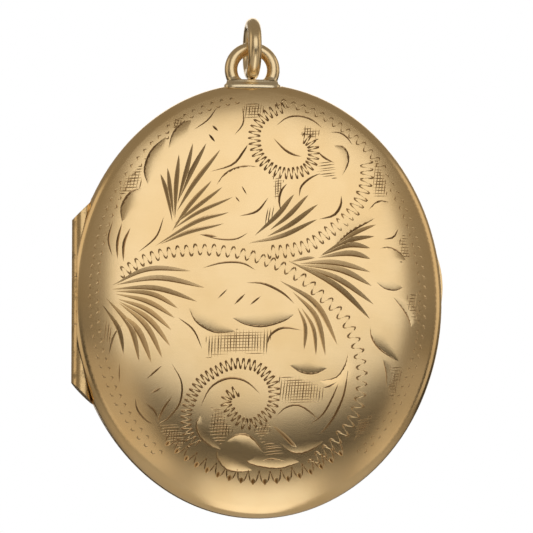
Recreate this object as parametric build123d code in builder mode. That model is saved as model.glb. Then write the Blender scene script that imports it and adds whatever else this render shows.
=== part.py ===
"""An oval hinged locket: two domed halves, a three-knuckle hinge, two photo frames, a bail and a jump ring.

Millimetres. The origin is the centre of the jump ring's hole, +Z is up along the locket as it hangs,
and the engraved front faces -Y. The two halves close on the plane Y = 0.
"""

import os
from math import atan, cos, radians, sqrt, tan

from build123d import *

# --- driving dimensions ---------------------------------------------------------------------------
oval_width = 29.4
oval_height = 34.4
shell = 0.45  # sheet thickness of both covers
wall_height = 1.15  # closing plane to the crease where wall and dome would meet
dome_rise = 1.65  # crease to the top of the dome
dome_power = 4  # how flat the dome's middle is
shoulder_radius = 1.1  # rounds the crease
closing_gap = 0.06  # between the two closed halves
dome_sections = (1.0, 0.96, 0.9, 0.82, 0.72, 0.61, 0.5, 0.4, 0.3, 0.22)  # shares of the oval

# hinge
knuckle_radius = 0.85
pin_radius = 0.35
pin_clearance = 0.03  # radial, in the middle knuckle only
knuckle_clearance = 0.14  # radial, between a knuckle and the other half's channel
knuckle_end_gap = 0.05
middle_knuckle_length = 3.7
barrel_z = -0.28  # middle of the barrel, from the oval's centre
barrel_half_length = 6.4  # to the mitre, on the barrel's outer line
mitre_angle = 45.0
barrel_inset = 0.1  # barrel's outer line inside the oval's side
bearer_wall = 0.28  # metal left between the channel and the land's inner edge
bearer_depth = 1.3
front_flat = 0.5  # how far the front half reaches past the hinge axis
back_flat = 0.0  # the back half stops at the axis, so that the front can swing past 90 degrees

# land, snap rim and photo seats
land_thickness = 0.35
snap_rim_height = 0.67
snap_rim_thickness = 0.35
snap_clearance = 0.05
snap_bead_radius = 0.15
snap_bead_reach = 0.11  # how far the bead stands out of the rim
snap_bead_length = 2.4
seat_wall = 0.3
seat_step = 0.35  # snap rim's inside to the photo frame's bore
ledge_thickness = 0.2
ledge_width = 0.75
front_seat_depth = 0.8  # closing plane to the top of the front photo frame

# photo frames, windows and cards
frame_clearance = 0.02
frame_wall = 0.28
frame_lip = 0.5  # how far the lip reaches over the window
lip_thickness = 0.12
window_thickness = 0.16
card_thickness = 0.10
card_clearance = 0.02

# bail, foot and jump ring
bail_offset = 0.35  # bail and ring stand this far left of the oval's middle
bail_radius = 1.69  # to the wire's centre
bail_wire = 1.02
foot_width = 4.1
foot_flare = 0.15  # each side, at the bottom
foot_depth = 1.7
foot_top = 0.33  # above the top of the oval
foot_sink = 0.63  # below the top of the oval
foot_clearance = 0.08
foot_round = 0.18
bail_rise = 1.18  # loop's centre above the top of the oval
ring_radius = 1.96  # to the wire's centre
ring_wire = 1.06
ring_clearance = 0.02  # ring to foot

# thumb lip
lip_reach = 0.22
lip_length = 4.4
lip_height = 0.4
lip_z = 1.9  # from the oval's centre

# --- worked out from them -------------------------------------------------------------------------
half_width = oval_width / 2
half_height = oval_height / 2
ring_outer = ring_radius + ring_wire / 2
oval_x = bail_offset
oval_z = -(half_height + foot_top + ring_clearance + ring_outer)
closing = closing_gap / 2

hinge_x = oval_x - half_width + barrel_inset + knuckle_radius
channel_radius = knuckle_radius + knuckle_clearance
bearer_x = hinge_x + channel_radius + bearer_wall
front_flat_x = hinge_x - front_flat
back_flat_x = hinge_x - back_flat
barrel_centre = oval_z + barrel_z
middle_top = barrel_centre + middle_knuckle_length / 2
middle_bottom = middle_top - middle_knuckle_length
barrel_reach = barrel_half_length + 2 * knuckle_radius * tan(radians(mitre_angle))

land_inset = half_width + bearer_x - oval_x - snap_clearance / 2  # oval to the front land's opening
rim_inset = land_inset + snap_clearance
bore_inset = rim_inset + snap_rim_thickness + seat_step
frame_inset = bore_inset + frame_clearance
card_inset = frame_inset + frame_wall + card_clearance
aperture_inset = frame_inset + frame_lip + frame_wall
frame_height = lip_thickness + window_thickness + card_thickness
ledge_inset = bore_inset + ledge_width

front = Plane(origin=(oval_x, 0, oval_z), x_dir=(1, 0, 0), z_dir=(0, -1, 0))
back = Plane(origin=(oval_x, 0, oval_z), x_dir=(-1, 0, 0), z_dir=(0, 1, 0))
oval_top = oval_z + half_height
edge_slope = dome_power * dome_rise / half_width


def oval(inset):
    """An ellipse inside the locket's outline, in the current sketch."""
    return Ellipse(half_width - inset, half_height - inset)


def oval_disc(side, inset, low, high):
    """A flat oval plate between two heights above the closing plane."""
    with BuildPart() as disc:
        with BuildSketch(side.offset(low)):
            oval(inset)
        extrude(amount=high - low)
    return disc.part


def oval_ring(side, outer_inset, inner_inset, low, high):
    """A flat oval ring between two heights above the closing plane."""
    with BuildPart() as ring:
        with BuildSketch(side.offset(low)):
            oval(outer_inset)
            with BuildSketch(mode=Mode.SUBTRACT):
                oval(inner_inset)
        extrude(amount=high - low)
    return ring.part


def half_blank(side, inset, crease, rise, radius):
    """The solid shape of one half: a straight wall, a rounded shoulder and a dome with a flat middle."""
    outward = Axis(side.origin, side.z_dir)
    with BuildPart() as blank:
        with BuildSketch(side.offset(closing)):
            oval(inset)
        extrude(amount=crease - closing)
        for share in dome_sections:
            height = crease + rise * (1 - share**dome_power)
            with BuildSketch(side.offset(height)):
                Ellipse((half_width - inset) * share, (half_height - inset) * share)
        loft()
        creases = blank.edges().filter_by_position(outward, crease - 0.001, crease + 0.001)
        fillet(creases, radius)
    return blank.part


def outer_blank(side):
    return half_blank(side, 0, wall_height, dome_rise, shoulder_radius)


def inner_blank(side):
    """The space inside a cover, one sheet thickness in from its outside."""
    crease = wall_height + edge_slope * shell - shell / cos(atan(edge_slope))
    rise = wall_height + dome_rise - shell - crease
    return half_blank(side, shell, crease, rise, shoulder_radius - shell)


# --- bail foot, cut first because the back half is let in around it --------------------------------
foot_low = oval_top - foot_sink
with BuildPart() as bail_foot:
    with BuildSketch(Plane.XZ.offset(-foot_depth / 2)):
        with BuildLine():
            top_corner = (foot_width / 2, oval_top + foot_top)
            flare_corner = (foot_width / 2 + foot_flare, oval_top)
            low_corner = (foot_width / 2 + foot_flare, foot_low)
            Polyline((0, foot_low), low_corner, flare_corner, top_corner, (0, oval_top + foot_top))
            mirror(about=Plane.YZ)
        make_face()
    extrude(amount=foot_depth)
    fillet(bail_foot.edges().filter_by(Axis.X).group_by(Axis.Z)[-1], foot_round)
bail_foot.part.label = "bail_foot"

# --- cutters for the hinge ------------------------------------------------------------------------
channel_low = barrel_centre - barrel_reach - knuckle_clearance
channel_high = barrel_centre + barrel_reach + knuckle_clearance


def barrel_piece(radius, low, high):
    """A round bar on the hinge axis between two heights."""
    with BuildPart() as bar:
        with BuildSketch(Plane.XY.offset(low)):
            with Locations((hinge_x, 0)):
                Circle(radius)
        extrude(amount=high - low)
    return bar.part


with BuildPart() as front_channel:
    add(barrel_piece(channel_radius, channel_low, middle_bottom))
    add(barrel_piece(knuckle_radius, middle_bottom, middle_top))
    add(barrel_piece(channel_radius, middle_top, channel_high))

with BuildPart() as back_channel:
    add(barrel_piece(knuckle_radius, channel_low, middle_bottom - knuckle_end_gap))
    add(barrel_piece(channel_radius, middle_bottom - knuckle_end_gap, middle_top + knuckle_end_gap))
    add(barrel_piece(knuckle_radius, middle_top + knuckle_end_gap, channel_high))

with BuildPart() as bearer_block:
    with BuildSketch(Plane.XY.offset(channel_low)):
        with Locations((bearer_x - half_width, 0)):
            Rectangle(2 * half_width, 2 * bearer_depth)
    extrude(amount=channel_high - channel_low)

foot_notch_half = foot_width / 2 + foot_flare + foot_clearance
with BuildPart() as foot_notch:
    with BuildSketch(Plane.XY.offset(foot_low - foot_clearance)):
        Rectangle(2 * foot_notch_half, 4 * (wall_height + dome_rise))
    extrude(amount=2 * foot_sink)


def trim_to_hinge(channel, flat_x):
    """Cuts the flat beside the hinge, then its channel, into the part being built."""
    split(bisect_by=Plane.YZ.offset(flat_x), keep=Keep.TOP)
    add(channel, mode=Mode.SUBTRACT)


# --- covers ---------------------------------------------------------------------------------------
with BuildPart() as front_cover:
    add(outer_blank(front))
    add(inner_blank(front), mode=Mode.SUBTRACT)
    trim_to_hinge(front_channel.part, front_flat_x)
    add(foot_notch.part, mode=Mode.SUBTRACT)
front_cover.part.label = "front_cover"

with BuildPart() as back_cover:
    add(outer_blank(back))
    add(inner_blank(back), mode=Mode.SUBTRACT)
    trim_to_hinge(back_channel.part, back_flat_x)
    add(bail_foot.part, mode=Mode.SUBTRACT)
back_cover.part.label = "back_cover"

# --- lands: the flat oval plates that stiffen each half's edge ------------------------------------
land_top = closing + land_thickness
with BuildPart() as front_land:
    add(oval_ring(front, shell, land_inset, closing, land_top))
    add(inner_blank(front), mode=Mode.INTERSECT)
    add(bearer_block.part, mode=Mode.SUBTRACT)
    add(foot_notch.part, mode=Mode.SUBTRACT)
front_land.part.label = "front_land"

back_land_top = closing + frame_height
with BuildPart() as back_land:
    add(oval_ring(back, shell, bore_inset, closing, back_land_top))
    add(inner_blank(back), mode=Mode.INTERSECT)
    add(bearer_block.part, mode=Mode.SUBTRACT)
    add(bail_foot.part, mode=Mode.SUBTRACT)
back_land.part.label = "back_land"

# --- photo seats ----------------------------------------------------------------------------------
bead_x = oval_x + half_width - rim_inset + snap_bead_reach - snap_bead_radius
bead_y = -(land_top + snap_bead_radius)
bead_z = oval_z
front_ledge = front_seat_depth + frame_height
with BuildPart() as front_seat:
    add(oval_ring(front, land_inset - seat_wall, land_inset, land_top, front_seat_depth))
    add(oval_ring(front, land_inset - seat_wall, bore_inset, front_seat_depth, front_ledge))
    add(oval_ring(front, land_inset + seat_wall, ledge_inset, front_ledge, front_ledge + ledge_thickness))
    with BuildSketch(Plane.XY.offset(bead_z - snap_bead_length / 2 - snap_clearance)):
        with Locations((bead_x, bead_y)):
            Circle(snap_bead_radius + snap_clearance / 2)
    extrude(amount=snap_bead_length + 2 * snap_clearance, mode=Mode.SUBTRACT)
front_seat.part.label = "front_seat"

with BuildPart() as back_seat:
    add(
        oval_ring(
            back, land_inset + seat_wall, ledge_inset, back_land_top, back_land_top + ledge_thickness
        )
    )
back_seat.part.label = "back_seat"

# --- hinge bearers: the bars inside each half that carry the knuckles ------------------------------
with BuildPart() as front_bearer:
    add(inner_blank(front))
    add(bearer_block.part, mode=Mode.INTERSECT)
    add(oval_disc(front, land_inset - seat_wall, land_top, bearer_depth), mode=Mode.SUBTRACT)
    trim_to_hinge(front_channel.part, front_flat_x)
front_bearer.part.label = "front_bearer"

with BuildPart() as back_bearer:
    add(inner_blank(back))
    add(bearer_block.part, mode=Mode.INTERSECT)
    trim_to_hinge(back_channel.part, back_flat_x)
back_bearer.part.label = "back_bearer"

# --- snap rim and its bead ------------------------------------------------------------------------
with BuildPart() as snap_rim:
    with BuildSketch(back.offset(closing)):
        oval(rim_inset)
        with BuildSketch(mode=Mode.SUBTRACT):
            oval(rim_inset + snap_rim_thickness)
    extrude(amount=-(closing + snap_rim_height + closing))
snap_rim.part.label = "snap_rim"

with BuildPart() as snap_bead:
    with BuildSketch(Plane.XY.offset(bead_z - snap_bead_length / 2)):
        with Locations((bead_x, bead_y)):
            Circle(snap_bead_radius)
    extrude(amount=snap_bead_length)
    add(oval_disc(front, rim_inset, -closing, front_seat_depth), mode=Mode.SUBTRACT)
snap_bead.part.label = "snap_bead"

# --- thumb lip ------------------------------------------------------------------------------------
lip_x = half_width * sqrt(1 - (lip_z / half_height) ** 2)
lip_outward = Vector(lip_x / half_width**2, lip_z / half_height**2).normalized()
edge_sag = lip_length**2 / 8 * half_width / half_height**2  # the oval's own bulge over the lip
lip_rise = lip_reach + edge_sag
lip_radius = lip_length**2 / (8 * lip_rise) + lip_rise / 2
lip_centre = Vector(oval_x + lip_x, oval_z + lip_z) + lip_outward * (lip_reach - lip_radius)
with BuildPart() as thumb_lip:
    with BuildSketch(Plane.XZ.offset(-closing - lip_height)):
        with Locations(lip_centre):
            Circle(lip_radius)
        with Locations((oval_x, oval_z)):
            Ellipse(half_width, half_height, mode=Mode.SUBTRACT)
    extrude(amount=lip_height)
thumb_lip.part.label = "thumb_lip"

# --- knuckles and pin -----------------------------------------------------------------------------
mitre_high = Plane(
    origin=(hinge_x - knuckle_radius, 0, barrel_centre + barrel_half_length),
    x_dir=(0, 1, 0),
    z_dir=(-1, 0, tan(radians(90 - mitre_angle))),
)
mitre_low = Plane(
    origin=(hinge_x - knuckle_radius, 0, barrel_centre - barrel_half_length),
    x_dir=(0, 1, 0),
    z_dir=(-1, 0, -tan(radians(90 - mitre_angle))),
)


def mitre_ends():
    """Trims the ends of the bar being built to the slant of the oval."""
    split(bisect_by=mitre_high, keep=Keep.BOTTOM)
    split(bisect_by=mitre_low, keep=Keep.BOTTOM)


barrel_low = barrel_centre - barrel_reach
barrel_high = barrel_centre + barrel_reach

with BuildPart() as upper_knuckle:
    add(barrel_piece(knuckle_radius, middle_top + knuckle_end_gap, barrel_high))
    add(barrel_piece(pin_radius, barrel_low, barrel_high), mode=Mode.SUBTRACT)
    mitre_ends()
upper_knuckle.part.label = "upper_knuckle"

with BuildPart() as middle_knuckle:
    add(barrel_piece(knuckle_radius, middle_bottom, middle_top))
    add(barrel_piece(pin_radius + pin_clearance, barrel_low, barrel_high), mode=Mode.SUBTRACT)
middle_knuckle.part.label = "middle_knuckle"

with BuildPart() as lower_knuckle:
    add(barrel_piece(knuckle_radius, barrel_low, middle_bottom - knuckle_end_gap))
    add(barrel_piece(pin_radius, barrel_low, barrel_high), mode=Mode.SUBTRACT)
    mitre_ends()
lower_knuckle.part.label = "lower_knuckle"

with BuildPart() as hinge_pin:
    add(barrel_piece(pin_radius, barrel_low, barrel_high))
    mitre_ends()
hinge_pin.part.label = "hinge_pin"


# --- photo frames, windows and cards --------------------------------------------------------------
def photo_frame(side, top, name):
    """An oval ring with a thin lip that holds the window down; top is its height above the closing plane."""
    with BuildPart() as frame:
        add(oval_ring(side, frame_inset, aperture_inset, top, top + lip_thickness))
        add(oval_ring(side, frame_inset, frame_inset + frame_wall, top + lip_thickness, top + frame_height))
    frame.part.label = name
    return frame


def photo_window(side, top, name):
    """A flat clear oval under the frame's lip."""
    with BuildPart() as window:
        low = top + lip_thickness
        add(oval_disc(side, card_inset, low, low + window_thickness))
    window.part.label = name
    return window


def photo_card(side, top, name):
    """A blank oval card between the window and the seat's ledge."""
    with BuildPart() as card:
        low = top + lip_thickness + window_thickness
        add(oval_disc(side, card_inset, low, low + card_thickness))
    card.part.label = name
    return card


front_photo_frame = photo_frame(front, front_seat_depth, "front_photo_frame")
front_window = photo_window(front, front_seat_depth, "front_window")
front_photo_card = photo_card(front, front_seat_depth, "front_photo_card")
back_photo_frame = photo_frame(back, closing, "back_photo_frame")
back_window = photo_window(back, closing, "back_window")
back_photo_card = photo_card(back, closing, "back_photo_card")

# --- bail loop and jump ring ----------------------------------------------------------------------
bail_z = oval_top + bail_rise
with BuildPart() as bail_loop:
    with BuildSketch(Plane.YZ):
        with Locations((0, bail_z + bail_radius)):
            Circle(bail_wire / 2)
    revolve(axis=Axis((0, 0, bail_z), (0, 1, 0)))
    split(bisect_by=Plane.XY.offset(oval_top + foot_top), keep=Keep.TOP)
bail_loop.part.label = "bail_loop"

with BuildPart() as jump_ring:
    with BuildSketch(Plane.XZ):
        with Locations((0, ring_radius)):
            Circle(ring_wire / 2)
    revolve(axis=Axis.X)
jump_ring.part.label = "jump_ring"

# --- export ---------------------------------------------------------------------------------------
pieces = (
    front_cover, back_cover, front_land, back_land, front_seat, back_seat,
    front_bearer, back_bearer, snap_rim, snap_bead, thumb_lip,
    upper_knuckle, middle_knuckle, lower_knuckle, hinge_pin,
    front_photo_frame, front_window, front_photo_card,
    back_photo_frame, back_window, back_photo_card,
    bail_foot, bail_loop, jump_ring,
)
os.makedirs("parts", exist_ok=True)
for piece in pieces:
    export_step(piece.part, f"parts/{piece.part.label}.step")
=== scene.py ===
import math
import random

import bmesh
import bpy
import numpy as np
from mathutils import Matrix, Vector
from mathutils.geometry import delaunay_2d_cdt


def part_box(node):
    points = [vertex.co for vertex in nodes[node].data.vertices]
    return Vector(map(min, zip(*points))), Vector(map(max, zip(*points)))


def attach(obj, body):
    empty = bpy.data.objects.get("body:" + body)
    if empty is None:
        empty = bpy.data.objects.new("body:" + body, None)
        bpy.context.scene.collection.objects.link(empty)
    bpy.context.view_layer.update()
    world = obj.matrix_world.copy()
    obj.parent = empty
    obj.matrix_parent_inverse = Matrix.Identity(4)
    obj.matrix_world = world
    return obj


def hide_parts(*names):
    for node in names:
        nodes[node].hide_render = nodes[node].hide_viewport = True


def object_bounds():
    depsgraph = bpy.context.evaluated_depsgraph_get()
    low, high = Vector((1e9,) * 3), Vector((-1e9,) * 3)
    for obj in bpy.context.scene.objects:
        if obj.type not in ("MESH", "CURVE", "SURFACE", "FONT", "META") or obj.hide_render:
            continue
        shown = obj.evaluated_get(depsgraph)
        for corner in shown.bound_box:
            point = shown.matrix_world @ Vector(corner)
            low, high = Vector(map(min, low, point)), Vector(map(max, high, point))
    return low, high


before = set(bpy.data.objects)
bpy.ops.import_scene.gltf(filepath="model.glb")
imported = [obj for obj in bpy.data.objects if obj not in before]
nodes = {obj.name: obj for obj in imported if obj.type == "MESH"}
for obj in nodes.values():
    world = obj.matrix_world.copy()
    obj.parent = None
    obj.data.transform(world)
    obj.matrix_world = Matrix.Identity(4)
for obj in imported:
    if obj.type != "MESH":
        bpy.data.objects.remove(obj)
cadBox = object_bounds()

mm = 0.001
chance = random.Random(11)
print("frame loaded:", len(nodes), "nodes")


# shader sums


class Value:  # a value socket that can be added, taken away and multiplied
    def __init__(self, tree, socket):
        self.tree = tree
        self.socket = socket

    def combine(self, operation, first, second):
        node = self.tree.nodes.new("ShaderNodeMath")
        node.operation = operation
        for slot, part in zip(node.inputs, (first, second)):
            if isinstance(part, Value):
                self.tree.links.new(part.socket, slot)
            else:
                slot.default_value = part
        return Value(self.tree, node.outputs[0])

    def __add__(self, other):
        return self.combine("ADD", self, other)

    def __radd__(self, other):
        return self.combine("ADD", other, self)

    def __sub__(self, other):
        return self.combine("SUBTRACT", self, other)

    def __rsub__(self, other):
        return self.combine("SUBTRACT", other, self)

    def __mul__(self, other):
        return self.combine("MULTIPLY", self, other)

    def __rmul__(self, other):
        return self.combine("MULTIPLY", other, self)

    def kept(self):  # held between 0 and 1
        node = self.tree.nodes.new("ShaderNodeClamp")
        self.tree.links.new(self.socket, node.inputs["Value"])
        return Value(self.tree, node.outputs[0])


class Finish:  # one material and its nodes
    def __init__(self, name):
        self.material = bpy.data.materials.new(name)
        self.material.use_nodes = True
        self.tree = self.material.node_tree
        self.tree.nodes.clear()

    def node(self, kind, settings=None, sockets=None, output=0):
        made = self.tree.nodes.new(kind)
        for name, value in (settings or {}).items():
            setattr(made, name, value)
        for name, value in (sockets or {}).items():
            if isinstance(value, Value):
                self.tree.links.new(value.socket, made.inputs[name])
            else:
                made.inputs[name].default_value = value
        return Value(self.tree, made.outputs[output])

    def noise(self, place, scale, detail=4, roughness=0.5):
        sockets = {"Vector": place, "Scale": scale, "Detail": detail, "Roughness": roughness}
        return self.node("ShaderNodeTexNoise", None, sockets)

    def mix(self, share, first, second):  # colours
        sockets = {0: share, 6: first, 7: second}
        return self.node("ShaderNodeMix", {"data_type": "RGBA"}, sockets, output=2)

    def shell(self, sockets):  # the principled shader, straight into the output
        shader = self.node("ShaderNodeBsdfPrincipled", None, sockets)
        out = self.tree.nodes.new("ShaderNodeOutputMaterial")
        self.tree.links.new(shader.socket, out.inputs["Surface"])
        return self.material


# finishes

goldLook = {
    "engraved": {"tint": (0.93, 0.70, 0.39), "roughness": 0.21, "grain": 0.006, "wear": 0.03},
    "plain": {"tint": (0.92, 0.68, 0.37), "roughness": 0.27, "grain": 0.010, "wear": 0.06},
    "inner": {"tint": (0.90, 0.64, 0.33), "roughness": 0.34, "grain": 0.010, "wear": 0.05},
    "hinge": {"tint": (0.86, 0.63, 0.33), "roughness": 0.26, "grain": 0.015, "wear": 0.08},
    "solder": {"tint": (0.90, 0.77, 0.54), "roughness": 0.24, "grain": 0.010, "wear": 0.05},
    "wire": {"tint": (0.92, 0.74, 0.46), "roughness": 0.25, "grain": 0.008, "wear": 0.05},
}
# painted shade in the engraved cuts, with some dirt: cut floors are coloured darker in place of the shade
# that falls in them
grooveDirtAndShade = (0.24, 0.125, 0.05)  # warm shade at the bottom of a cut
grimeTint = (0.16, 0.13, 0.07)  # old polish in the hinge


goldGrain = {"cloud": 260, "fine": 5200, "brushed": 900, "stretch": 14}  # scales of the noises


def goldFinish(name, groove=False, grime=0.0):
    look = goldLook[name]
    finish = Finish(name + "Gold")
    place = finish.node("ShaderNodeTexCoord", None, None, output=3)
    cloud = finish.noise(place, goldGrain["cloud"], 3)
    fine = finish.noise(place, goldGrain["fine"], 5, 0.65)
    squeeze = {"Vector": place, "Rotation": (0, 0.5, 0), "Scale": (1, 1, goldGrain["stretch"])}
    stretched = finish.node("ShaderNodeMapping", None, squeeze)
    brushed = finish.noise(stretched, goldGrain["brushed"], 4, 0.7)
    wear = (cloud - 0.5) * look["wear"] * 2
    roughness = (look["roughness"] + wear + (brushed - 0.5) * 0.08).kept()
    pale = (*look["tint"], 1)
    deep = (*[c * k for c, k in zip(look["tint"], (0.93, 0.88, 0.78))], 1)
    colour = finish.mix((0.25 + (cloud - 0.5) * 2).kept(), pale, deep)
    if groove:
        # cuts painted darker with this shade and dirt colour, by the cutShade corner attribute
        cut = finish.node("ShaderNodeAttribute", {"attribute_name": "cutShade"}, None, output=2)
        colour = finish.mix(cut, colour, (*grooveDirtAndShade, 1))
    if grime:
        patch = ((finish.noise(place, 900, 5, 0.7) - 0.52) * 5).kept() * grime
        colour = finish.mix(patch, colour, (*grimeTint, 1))
        roughness = (roughness + patch * 0.4).kept()
    height = fine * 0.6 + brushed * 0.4
    normal = finish.node(
        "ShaderNodeBump", None, {"Strength": look["grain"] * 4, "Distance": 0.00002, "Height": height}
    )
    return finish.shell(
        {"Base Color": colour, "Metallic": 1.0, "Roughness": roughness, "Normal": normal}
    )


def windowFinish():
    finish = Finish("clearWindow")
    place = finish.node("ShaderNodeTexCoord", None, None, output=3)
    haze = finish.noise(place, 700, 3)
    return finish.shell(
        {
            "Base Color": (0.97, 0.96, 0.92, 1),
            "Roughness": (0.06 + haze * 0.08).kept(),
            "Alpha": 0.16,
            "IOR": 1.45,
        }
    )


def cardFinish():
    finish = Finish("cardPaper")
    place = finish.node("ShaderNodeTexCoord", None, None, output=3)
    fibre = finish.noise(place, 2400, 6, 0.7)
    cloud = finish.noise(place, 180, 2)
    share = (fibre * 0.6 + cloud * 0.4).kept()
    colour = finish.mix(share, (0.80, 0.72, 0.58, 1), (0.90, 0.84, 0.73, 1))
    normal = finish.node(
        "ShaderNodeBump", None, {"Strength": 0.2, "Distance": 0.00003, "Height": fibre}
    )
    return finish.shell({"Base Color": colour, "Roughness": 0.75, "Normal": normal})


finishes = {
    "engraved_gold": goldFinish("engraved", groove=True),
    "plain_gold": goldFinish("plain"),
    "inner_gold": goldFinish("inner"),
    "hinge_gold": goldFinish("hinge", grime=0.8),
    "solder_gold": goldFinish("solder"),
    "wire_gold": goldFinish("wire"),
    "clear_window": windowFinish(),
    "card": cardFinish(),
}
for node in nodes.values():
    for slotNumber, old in enumerate(list(node.data.materials)):
        node.data.materials[slotNumber] = finishes[old.name.split(".")[0]]
print("finishes made:", len(finishes))


# the front cover's outside, before it is cut
# u runs across and v up from the middle of the oval, in mm; height is out from the closing plane

coverShape = {
    "across": 29.4,
    "tall": 34.4,
    "footTop": 0.33,  # top of the bail foot above the oval
    "wallHeight": 1.15,
    "domeRise": 1.65,
    "domePower": 4,
    "shoulderRadius": 1.1,
    "steepest": 0.985,  # how far a normal on the shoulder may lean out
}
coverLow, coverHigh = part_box("back_cover")
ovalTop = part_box("bail_foot")[1].z / mm - coverShape["footTop"]
ovalBottom = coverLow.z / mm
ovalRight = coverHigh.x / mm
halfUp = (ovalTop - ovalBottom) / 2
halfAcross = halfUp * coverShape["across"] / coverShape["tall"]
middleX = ovalRight - halfAcross
middleZ = (ovalTop + ovalBottom) / 2
middle = Vector((middleX * mm, 0, middleZ * mm))
print("oval", round(halfAcross, 3), round(halfUp, 3), "at", round(middleX, 3), round(middleZ, 3))


def addPiece(name, mesh):
    piece = bpy.data.objects.new(name, mesh)
    bpy.context.scene.collection.objects.link(piece)
    return piece


def facing(turn, rise):  # the way out from the locket, from degrees round it and degrees up
    turn, rise = math.radians(turn), math.radians(rise)
    return Vector((math.sin(turn) * math.cos(rise), -math.cos(turn) * math.cos(rise), math.sin(rise)))


def domeHeight(u, v):
    r = np.sqrt((u / halfAcross) ** 2 + (v / halfUp) ** 2)
    return coverShape["wallHeight"] + coverShape["domeRise"] * (1 - r ** coverShape["domePower"])


def domeSlope(u, v):
    power = coverShape["domePower"]
    r = np.sqrt((u / halfAcross) ** 2 + (v / halfUp) ** 2)
    lead = -coverShape["domeRise"] * power * r ** (power - 2)
    return lead * u / halfAcross**2, lead * v / halfUp**2


def outline(turn, inset=0.0):  # points and outward way of the oval, or of a line inside it
    u, v = halfAcross * np.cos(turn), halfUp * np.sin(turn)
    nu, nv = np.cos(turn) / halfAcross, np.sin(turn) / halfUp
    size = np.sqrt(nu**2 + nv**2)
    return u - inset * nu / size, v - inset * nv / size, nu / size, nv / size


def nearestTurn(u, v):
    turn = np.arctan2(v / halfUp, u / halfAcross)
    for _ in range(5):
        pu, pv = halfAcross * np.cos(turn), halfUp * np.sin(turn)
        du, dv = -halfAcross * np.sin(turn), halfUp * np.cos(turn)
        gap = (pu - u) * du + (pv - v) * dv
        rate = du**2 + dv**2 - (pu - u) * pu - (pv - v) * pv
        turn = turn - gap / rate
    return turn


def shoulder(u, v):  # height and outward normal, with the rounded shoulder
    height = domeHeight(u, v)
    su, sv = domeSlope(u, v)
    normal = np.stack([-su, -np.ones_like(su), -sv], -1)
    normal /= np.linalg.norm(normal, axis=1)[:, None]
    turn = nearestTurn(u, v)
    pu, pv, nu, nv = outline(turn)
    inset = np.maximum((pu - u) * nu + (pv - v) * nv, 0)
    radius = coverShape["shoulderRadius"]
    meet = np.full_like(inset, 0.6)
    for _ in range(8):
        tu, tv = pu - meet * nu, pv - meet * nv
        gu, gv = domeSlope(tu, tv)
        lean = np.arctan(-(gu * nu + gv * nv))
        meet = radius * (1 - np.sin(lean))
    centre = domeHeight(pu - meet * nu, pv - meet * nv) - radius * np.cos(lean)
    onRound = inset < meet
    out = np.clip((radius - inset) / radius, 0, 1)
    height = np.where(onRound, centre + radius * np.sqrt(1 - out**2), height)
    out = np.minimum(out, coverShape["steepest"])
    up = np.sqrt(1 - out**2)
    rounded = np.stack([out * nu, -up, out * nv], -1)
    return height, np.where(onRound[:, None], rounded, normal)


# cuts

graver = {
    "wall": 0.62,  # depth of a plain cut as a share of half its width
    "step": 0.45,  # mm between the points along a cut
    "faint": 0.05,  # width of the faint joining lines
    "hatch": 0.09,  # width of the scratches in a shaded patch
}
# a cut's darkness is how strongly its floor is painted with shade and some dirt
cuts = []  # each is (line, left widths, right widths, depths, soft side, darkness)


def smoothLine(points, count):
    points = np.array(points, float)
    if len(points) == 2:
        return points[0] + (points[1] - points[0]) * np.linspace(0, 1, count)[:, None]
    ends = np.vstack([2 * points[0] - points[1], points, 2 * points[-1] - points[-2]])
    place = np.linspace(0, len(points) - 1, count)
    k = np.minimum(place.astype(int), len(points) - 2)
    t = (place - k)[:, None]
    a, b, c, d = ends[k], ends[k + 1], ends[k + 2], ends[k + 3]
    squared = (2 * a - 5 * b + 4 * c - d) * t**2
    cubed = (3 * b - a - 3 * c + d) * t**3
    return 0.5 * (2 * b + (c - a) * t + squared + cubed)


def across(line):
    way = np.gradient(line, axis=0)
    way /= np.maximum(np.linalg.norm(way, axis=1), 1e-9)[:, None]
    return np.stack([-way[:, 1], way[:, 0]], -1)


def cut(points, width, lean=0.0, swell=1.0, deep=1.0, count=None, soft=0, dark=1.0):
    # lean widens one wall: 1 is all to the left of the stroke, -1 all to the right
    # soft fades that wall out
    # dark sets the painted shade and dirt on the cut's floor; soft slopes get none
    rough = np.array(points, float)
    length = np.linalg.norm(np.diff(rough, axis=0), axis=1).sum()
    count = count or max(4, min(16, int(length / graver["step"]) + 3))
    line = smoothLine(points, count)
    share = np.linspace(0, 1, count)
    body = np.sin(np.pi * share**swell) ** 0.75
    body[0] = body[-1] = 0
    left = width * (1 + lean) / 2 * body
    right = width * (1 - lean) / 2 * body
    depths = graver["wall"] * deep * width / 2 * body
    cuts.append((line, left, right, depths, soft, 0.0 if soft else dark))


def cutAll(strokes, **how):
    for *points, width in strokes:
        cut(points, width, **how)


leftFan = [
    ((-11.6, 0.75), (-8.8, 1.95), (-5.5, 1.9), 0.3),
    ((-11.3, 0.8), (-8.0, 1.25), (-4.4, 0.6), 0.34),
    ((-11.7, 0.45), (-8.3, 0.45), (-5.0, -0.5), 0.32),
    ((-11.4, 0.3), (-8.6, 0.0), (-6.5, -1.05), 0.3),
    ((-11.4, 0.1), (-8.9, -0.6), (-6.75, -1.8), 0.3),
    ((-11.2, -0.3), (-9.0, -1.2), (-7.0, -2.75), 0.3),
    ((-11.1, -0.5), (-8.9, -1.9), (-7.1, -4.0), 0.32),
    ((-11.1, -0.6), (-9.1, -2.4), (-7.7, -4.95), 0.32),
    ((-11.1, -1.4), (-9.7, -2.8), (-8.55, -5.3), 0.36),
    ((-12.1, -0.2), (-10.3, -2.5), (-9.5, -5.2), 0.32),
    ((-12.4, -0.7), (-11.2, -2.6), (-10.7, -4.6), 0.26),
    ((-10.8, -2.3), (-11.5, -3.2), (-11.85, -4.7), 0.12),
]
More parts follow.
